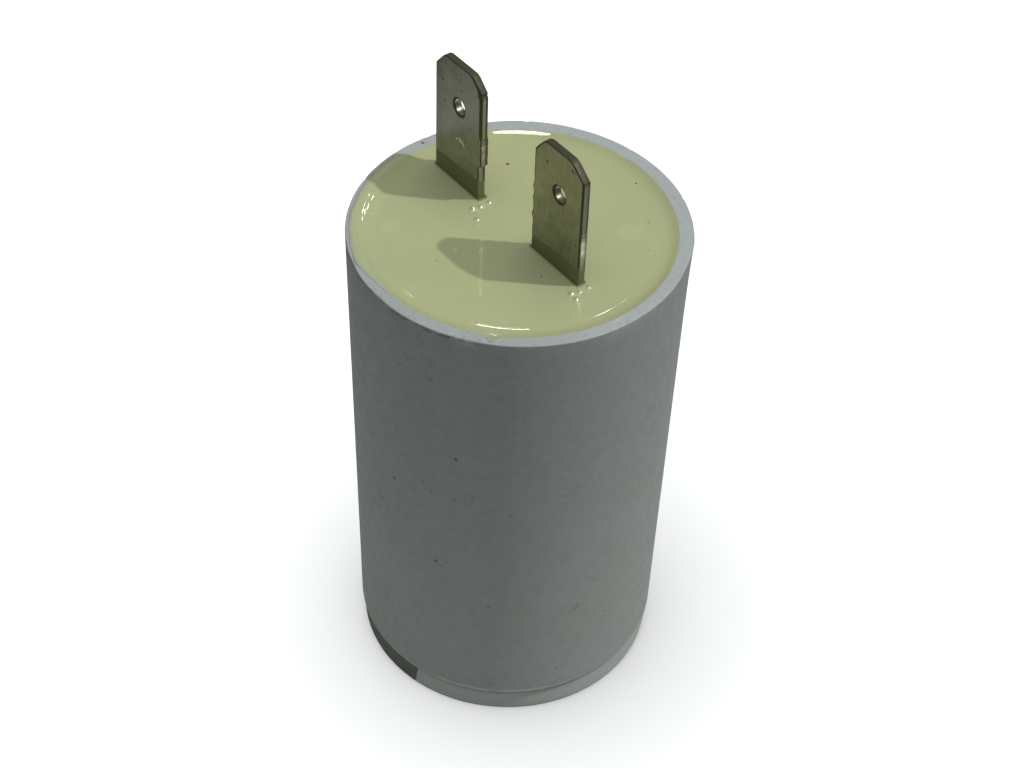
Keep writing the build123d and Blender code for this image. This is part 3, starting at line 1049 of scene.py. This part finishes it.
def blade_outline(low, high, left_cut, right_cut, left_round, right_round):
    """The blade's edge from the front, anticlockwise, with more points near the tip.

    A cut is how far a corner of the tip is cut along and down. Points are spread so that the
    tip, where the eye looks, has TIP_WEIGHT times as many per length.
    """
    left, right, tip, end = low[0], high[0], high[2], low[2]
    middle, shoulder = (left + right) / 2, tip - SHOULDER_DROP
    outline = rounded(
        [
            (middle, end), (middle + TAIL_HALF, end), (middle + TAIL_HALF, shoulder), (right, shoulder),
            (right, tip - right_cut[1]), (right - right_cut[0], tip), (left + left_cut[0], tip),
            (left, tip - left_cut[1]), (left, shoulder), (middle - TAIL_HALF, shoulder),
            (middle - TAIL_HALF, end), (middle, end),
        ],
        [0.1, 0.2, 0.1, 0.5, right_round, left_round, 0.4, 0.1, 0.2, 0.1],
        steps=15,
    )
    runs = np.linalg.norm(np.diff(outline, axis=0), axis=1)
    weight = np.where(outline[1:, 1] > tip - TIP_ZONE, TIP_WEIGHT, 1.0)
    walked = np.concatenate([[0], np.cumsum(runs * weight)])
    wanted = np.arange(OUTLINE_POINTS) * walked[-1] / OUTLINE_POINTS
    return np.stack([np.interp(wanted, walked, outline[:, k]) for k in (0, 1)], -1)


def outward(outline):
    """Unit normals of an anticlockwise outline, pointing away from the plate."""
    along = np.roll(outline, -2, 0) - np.roll(outline, 2, 0)
    normal = np.stack([along[:, 1], -along[:, 0]], -1)
    return normal / np.linalg.norm(normal, axis=1)[:, None]


# %% Rolled edges of a blade
ROLL_SHARE = 0.65
SMALLEST_ROLL = 0.03
TIP_ROLLS = (0.10, 0.30)  # front, back: the tip's bevel
CLEAR_OF_SHOULDER = (0.6, 1.4)


def rolls_at(outline, normal, tip, roll_over):
    """How far the front and back edges are rolled over, at each point of the outline.

    At the tip neither is less than its bevel. At the shoulder, which the resin hides, both fall
    to SMALLEST_ROLL, so that the rows don't cross in its inner corners.
    """
    z = outline[:, 1]
    at_tip = np.clip((z - (tip - 1.75)) / 0.5, 0, 1)
    start, stop = CLEAR_OF_SHOULDER
    clear = eased(z, tip - SHOULDER_DROP + start, tip - SHOULDER_DROP + stop)
    return [
        SMALLEST_ROLL + (np.maximum(roll, bevel * at_tip) - SMALLEST_ROLL) * clear
        for roll, bevel in zip(roll_over(outline, normal), TIP_ROLLS)
    ]


# %% Section of a blade
HOLE_R = 0.78
HOLE_ROUND = 0.14
HOLE_ROUND_BACK = 0.06
HOLE_FROM_TIP = 4.3
HOLE_OFF_MIDDLE = 0.2
FACE_STEPS = np.array([0.02, 0.14, 0.28, 0.42, 0.56, 0.7, 0.84, 0.98])
ROLL_TURNS = np.radians([0, 15, 30, 45, 60, 75, 90])
ROLL_DARK = (0.6, 1, 1, 1, 1, 1, 0.9)
HOLE_TURNS = np.radians([90, 68, 45, 22, 0])
HOLE_DARK = (0.45, 0.8, 1.0, 1.0, 0.9)
STRIP_ROWS = [
    # share of the way from front to back, how much more the mark is than grime, wobble
    (0.08, 0.0, 0), (0.55, 0.0, 1), (0.68, 0.45, 0), (0.92, 0.55, 0),
]


def make_blade(name, node, low, high, cuts, edge_shift, roll_over, grime, material):
    """A plate with one hole. Each row is the whole outline at one place of the section.

    A row on a face lies between the hole's edge and the outline. A row on the outer edge is the
    outline moved in by roll * (1 - sin t) and lies ROLL_SHARE * roll * (1 - cos t) behind the
    face. The mark "edge" is near 1 on the rolled edges and 0 on the flats. On the sheared strip
    between them it is grime, and more on its torn back half and at the tip.
    """
    outline = blade_outline(low, high, *cuts)
    normal = outward(outline)
    outline = outline + normal * edge_shift(outline, normal)[:, None]
    tip = high[2]
    hole = np.array([(low[0] + high[0]) / 2 + HOLE_OFF_MIDDLE, tip - HOLE_FROM_TIP])
    spoke = outline - hole
    spoke = spoke / np.linalg.norm(spoke, axis=1)[:, None]
    front, back = rolls_at(outline, normal, tip, roll_over)
    half = BLADE_T / 2
    x, z = outline[:, 0], outline[:, 1]
    uneven = 0.012 * np.sin(z * 9.0) * np.sin(z * 23.0 + x)
    tip_dark = np.clip((z - (tip - 1.6)) / 0.4, 0, 1)
    flat = np.zeros(len(outline))

    def hole_ring(rounding, side, t, dark):
        ring = hole + spoke * (HOLE_R + rounding * (1 - math.sin(t)))
        return ring, flat + side * (half - rounding * (1 - math.cos(t))), flat + dark

    def rolled_ring(roll, side, t, dark):
        ring = outline - normal * (roll * (1 - math.sin(t)))[:, None]
        return ring, side * (half - ROLL_SHARE * roll * (1 - math.cos(t))), flat + dark

    def face_ring(rounding, roll, side, share):
        inner = hole + spoke * (HOLE_R + rounding)
        outer = outline - normal * roll[:, None]
        return inner * (1 - share) + outer * share, flat + side * half, flat

    rows = [hole_ring(HOLE_ROUND, -1, t, dark) for t, dark in zip(HOLE_TURNS, HOLE_DARK)]
    rows += [face_ring(HOLE_ROUND, front, -1, share) for share in FACE_STEPS]
    rows += [rolled_ring(front, -1, t, dark) for t, dark in zip(ROLL_TURNS, ROLL_DARK)]
    strip_front = -half + ROLL_SHARE * front
    strip_back = half - ROLL_SHARE * back
    for share, more, wobble in STRIP_ROWS:
        moved = outline + normal * (uneven * wobble)[:, None]
        depth = strip_front * (1 - share) + strip_back * share
        rows.append((moved, depth, more + grime + tip_dark))
    rows += [rolled_ring(back, 1, t, dark) for t, dark in zip(ROLL_TURNS[::-1], ROLL_DARK[::-1])]
    rows += [face_ring(HOLE_ROUND_BACK, back, 1, share) for share in FACE_STEPS[::-1]]
    rows += [hole_ring(HOLE_ROUND_BACK, 1, t, 0.3) for t in np.radians([0, 45, 90])]

    points = np.stack([np.stack([ring[:, 0], depth, ring[:, 1]], -1) for ring, depth, dark in rows])
    quads = ring_quads(len(rows), OUTLINE_POINTS, close_rows=True)
    on_face = np.array([bool(np.all(np.abs(depth) == half)) for ring, depth, dark in rows])
    flat_quads = np.repeat(on_face & np.roll(on_face, -1), OUTLINE_POINTS)
    piece = put_mesh(name, points.reshape(-1, 3), quads, np.zeros((0, 3), int), material, flat_quads)
    mark_points(piece, "edge", np.stack([dark for ring, depth, dark in rows]))
    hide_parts(node)
    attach(piece, "root")


# %% Near blade
FRONT_Y = -BLADE_T / 2
NEAR_CUTS = ((1.25, 1.55), (1.6, 1.35), 1.0, 1.5)
NEAR_SPECKS = [
    (3.88, FRONT_Y, 58.91, 0.15), (7.09, FRONT_Y, 59.96, 0.15), (7.48, FRONT_Y, 60.0, 0.09),
    (8.03, FRONT_Y, 52.76, 0.12), (3.0, FRONT_Y, 54.1, 0.09), (5.0, FRONT_Y, 51.0, 0.07),
]
# a painted glint
NEAR_PAINTED_GLINTS = [(6.7, FRONT_Y - 0.01, 52.5, 0.02)]


def near_shift(outline, normal):
    """Small burrs on the left edge, in millimetres outwards: three bells and a faint wave."""
    on_left = np.clip(-normal[:, 0], 0, 1) ** 4
    z = outline[:, 1]
    burrs = 0.10 * bell(z, 55.25, 0.25) + 0.10 * bell(z, 54.05, 0.22) + 0.14 * bell(z, 52.3, 0.28)
    return on_left * (burrs + 0.015 * np.sin(z * 4.0))


def near_roll(outline, normal):
    """How far the press rolled the front and back edges over: deepest at the front right."""
    on_right = np.clip(normal[:, 0], 0, 1) ** 2
    on_left = np.clip(-normal[:, 0], 0, 1) ** 2
    return 0.10 + 0.08 * on_right + 0.06 * on_left, 0.12 + 0.08 * on_right


NEAR_TIN = make_blade_finish(
    "dull_tin_plate_near", near_low, near_high, ("#959582", "#aeac9c"), (1.55, 2.10, 0.9),
    NEAR_SPECKS, NEAR_PAINTED_GLINTS,
)
make_blade(
    "blade_near_tinned", "near_blade", near_low, near_high, NEAR_CUTS, near_shift, near_roll, 0.0,
    NEAR_TIN,
)

# %% Far blade
FAR_CUTS = ((1.25, 1.5), (1.25, 1.15), 0.9, 0.9)
FAR_SPECKS = [
    (-10.66, FRONT_Y, 58.56, 0.14), (-7.98, FRONT_Y, 58.83, 0.13), (-10.44, FRONT_Y, 56.36, 0.11),
    (-7.67, FRONT_Y, 56.14, 0.09), (-10.0, FRONT_Y, 57.3, 0.07),
]
# painted glints: white streaks on the far blade's face
FAR_PAINTED_GLINTS = [
    (-8.62, FRONT_Y, 53.38, 0.16), (-8.47, FRONT_Y, 53.47, 0.14), (-8.16, FRONT_Y, 53.60, 0.17),
    (-8.02, FRONT_Y, 53.42, 0.19), (-7.72, FRONT_Y, 53.32, 0.21), (-7.55, FRONT_Y, 53.10, 0.16),
    (-7.72, FRONT_Y, 53.66, 0.10),
]
FAR_EDGE_STARTS = (47.0, 47.8)
FAR_STEP_Z = 52.3
FAR_BURR_TOP = 55.3
FAR_SET_IN = 0.15
FAR_BURR = 0.21
FAR_PROUD = 0.11


def far_shift(outline, normal):
    """The right edge: a burr stands out between two heights, and the edge is set in below it.

    Above the burr the edge stands a little proud of the frame, up to its torn corner. The set-in
    part fades out under the resin, between the FAR_EDGE_STARTS, before the shoulder.
    """
    on_right = np.clip(normal[:, 0], 0, 1) ** 4
    z = outline[:, 1]
    below = np.clip((FAR_STEP_Z - z) / 0.12, 0, 1) * eased(z, *FAR_EDGE_STARTS)
    burr = np.clip((z - FAR_STEP_Z) / 0.12, 0, 1) * np.clip((FAR_BURR_TOP - z) / 0.15, 0, 1)
    ragged = 0.85 + 0.06 * np.sin(z * 5.3) + 0.04 * np.sin(z * 13.7 + 1.0)
    torn_corner = 0.12 * bell(z, 59.75, 0.16) + 0.08 * bell(z, 60.25, 0.12)
    proud = FAR_PROUD * np.clip((z - FAR_BURR_TOP + 0.15) / 0.15, 0, 1)
    out = -FAR_SET_IN * below + FAR_BURR * burr * ragged + proud + 0.006 * np.sin(z * 4.1)
    return on_right * (out - torn_corner)


def far_roll(outline, normal):
    """The front edge is rolled over deep above the burr on the right, and torn at the corner."""
    on_right = np.clip(normal[:, 0], 0, 1)
    z = outline[:, 1]
    above = np.clip((z - FAR_BURR_TOP) / 0.2, 0, 1)
    torn = 0.22 * bell(z, 60.0, 0.5) * (0.7 + 0.3 * np.sin(z * 19.0))
    return 0.10 + on_right * (0.16 * above + torn), 0.10 + 0.08 * on_right * above


FAR_TIN = make_blade_finish(
    "dull_tin_plate_far", far_low, far_high, ("#a3a392", "#bab9ab"), (2.0, 2.35, 0.5),
    FAR_SPECKS, FAR_PAINTED_GLINTS,
)
make_blade(
    "blade_far_tinned", "far_blade", far_low, far_high, FAR_CUTS, far_shift, far_roll, 0.4, FAR_TIN,
)

# %% [markdown]
# ## What the resin hides
#
# The roll, its leads and the solder can't be seen in the finished part, and they are still real
# pieces. Each gets the finish of its own material, so that a cut-away drawing looks right. The
# CAD nodes of the cup, the resin and the blades get the finishes made above.

# %% Plain finishes


def make_plain_finish(name, dark, light, size, metallic, roughness, stretch=(1.0, 1.0, 1.0)):
    """Two tones of one material in a grain of size millimetres, with a bump to match."""
    material, tree, surface, place = new_material(name)
    pattern = grain(tree, place, size, 3.0, stretch)
    share = add_node(tree, "MapRange", {**SMOOTH, 0: pattern, 1: 0.35, 2: 0.65})
    tones = add_node(tree, "Mix", {**COLOUR, 0: share, 6: dark, 7: light}, 2)
    tree.links.new(tones, surface.inputs["Base Color"])
    surface.inputs["Metallic"].default_value = metallic
    dull = add_node(tree, "MapRange", {0: share, 3: roughness - 0.05, 4: roughness + 0.05})
    tree.links.new(dull, surface.inputs["Roughness"])
    bump = add_node(tree, "Bump", {"Distance": 0.05 * size * MM, "Height": pattern})
    tree.links.new(bump, surface.inputs["Normal"])
    return material


# Zinc-metallised polypropylene film: silvery, with faint lines of its turns, 0.4 mm as drawn.
METALLISED_FILM = make_plain_finish("metallised_film", "#b4b7ba", "#cfd1d3", 0.4, 0.6, 0.3, (1, 1, 0.05))
# Extruded polypropylene tube: milky, smooth.
CORE_TUBE = make_plain_finish("polypropylene_tube", "#d8d5c8", "#e4e1d6", 2.0, 0.0, 0.45)
# Arc-sprayed zinc: grey and rough, grains about 0.15 mm.
SPRAYED_ZINC = make_plain_finish("sprayed_zinc", "#85878a", "#a2a4a6", 0.15, 0.8, 0.7)
# Tinned copper wire: bright, drawn smooth.
TINNED_COPPER = make_plain_finish("tinned_copper", "#b5b1a8", "#cbc8c0", 0.3, 1.0, 0.25, (1, 1, 0.1))
# Glass-braid sleeve with black silicone: dark, slightly ribbed.
SLEEVE = make_plain_finish("silicone_sleeve", "#1b1b1b", "#2b2b2a", 0.3, 0.0, 0.6)
# Tin-lead solder: bright, with a dull frost in patches.
SOLDER = make_plain_finish("tin_solder", "#a5a5a1", "#bebeba", 0.6, 1.0, 0.35)

# %% Each CAD node gets its finish
FINISHES = [
    (CASE_PLASTIC, ["case"]),
    (RESIN_FINISH, ["potting_resin"]),
    (NEAR_TIN, ["near_blade"]),
    (FAR_TIN, ["far_blade"]),
    (METALLISED_FILM, ["film_winding"]),
    (CORE_TUBE, ["winding_core"]),
    (SPRAYED_ZINC, ["upper_end_spray", "lower_end_spray"]),
    (TINNED_COPPER, ["short_lead", "long_lead"]),
    (SLEEVE, ["lead_sleeve"]),
    (SOLDER, ["upper_end_solder", "lower_end_solder", "near_tail_solder", "far_tail_solder"]),
]
for material, nodes in FINISHES:
    for node in nodes:
        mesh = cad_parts[node].data
        mesh.materials.clear()
        mesh.materials.append(material)
print("finishes set on", sum(len(nodes) for material, nodes in FINISHES), "CAD nodes")

# %% [markdown]
# ## Floor
#
# The object stands on plain white paper. White paper would throw so much light back up at the
# cup that its side would lose its shade, so what the camera sees and what lights the cup are two
# sheets: the white one shows, and a small grey one just under it does the lighting, as a grey
# card does in a studio. The sun is kept off both, so no hard shadow falls beside the cup.

# %% Two sheets


def make_sheet_of_paper(name, half, height, colour):
    """A plain square on the ground, half its side from the middle."""
    mesh = bpy.data.meshes.new(name)
    h = half * MM
    mesh.from_pydata([(-h, -h, 0), (h, -h, 0), (h, h, 0), (-h, h, 0)], [], [(0, 1, 2, 3)])
    sheet = bpy.data.objects.new(name, mesh)
    bpy.context.collection.objects.link(sheet)
    sheet.location.z = height * MM
    material = bpy.data.materials.new(name)
    material.use_nodes = True
    surface = material.node_tree.nodes["Principled BSDF"]
    surface.inputs["Base Color"].default_value = linear(colour)
    surface.inputs["Roughness"].default_value = 0.9
    surface.inputs["Specular IOR Level"].default_value = 0.0
    mesh.materials.append(material)
    return sheet


white_paper = make_sheet_of_paper("white_paper", 900.0, -0.01, "#e7e7e7")
white_paper.visible_diffuse = False
white_paper.visible_glossy = False
white_paper.visible_shadow = False
grey_card = make_sheet_of_paper("grey_card", 72.0, -0.05, "#e2e4da")
grey_card.visible_camera = False


# %% Which lamp lights what


def link_lamps(lamps, name, pieces, state):
    """Keep lamps off the pieces (EXCLUDE), or let them light these pieces only (INCLUDE)."""
    group = bpy.data.collections.new(name)
    for piece in pieces:
        group.objects.link(piece)
    for lamp in lamps:
        lamp.light_linking.receiver_collection = group
    for member in group.collection_objects:
        member.light_linking.link_state = state


link_lamps([key_sun], "not_in_the_sun", [white_paper, grey_card], "EXCLUDE")
link_lamps([paper_lamp], "under_the_paper_lamp", [white_paper], "INCLUDE")
link_lamps(panel_lamps, "mirrors_the_panels", [bpy.data.objects["poured_resin"]], "INCLUDE")
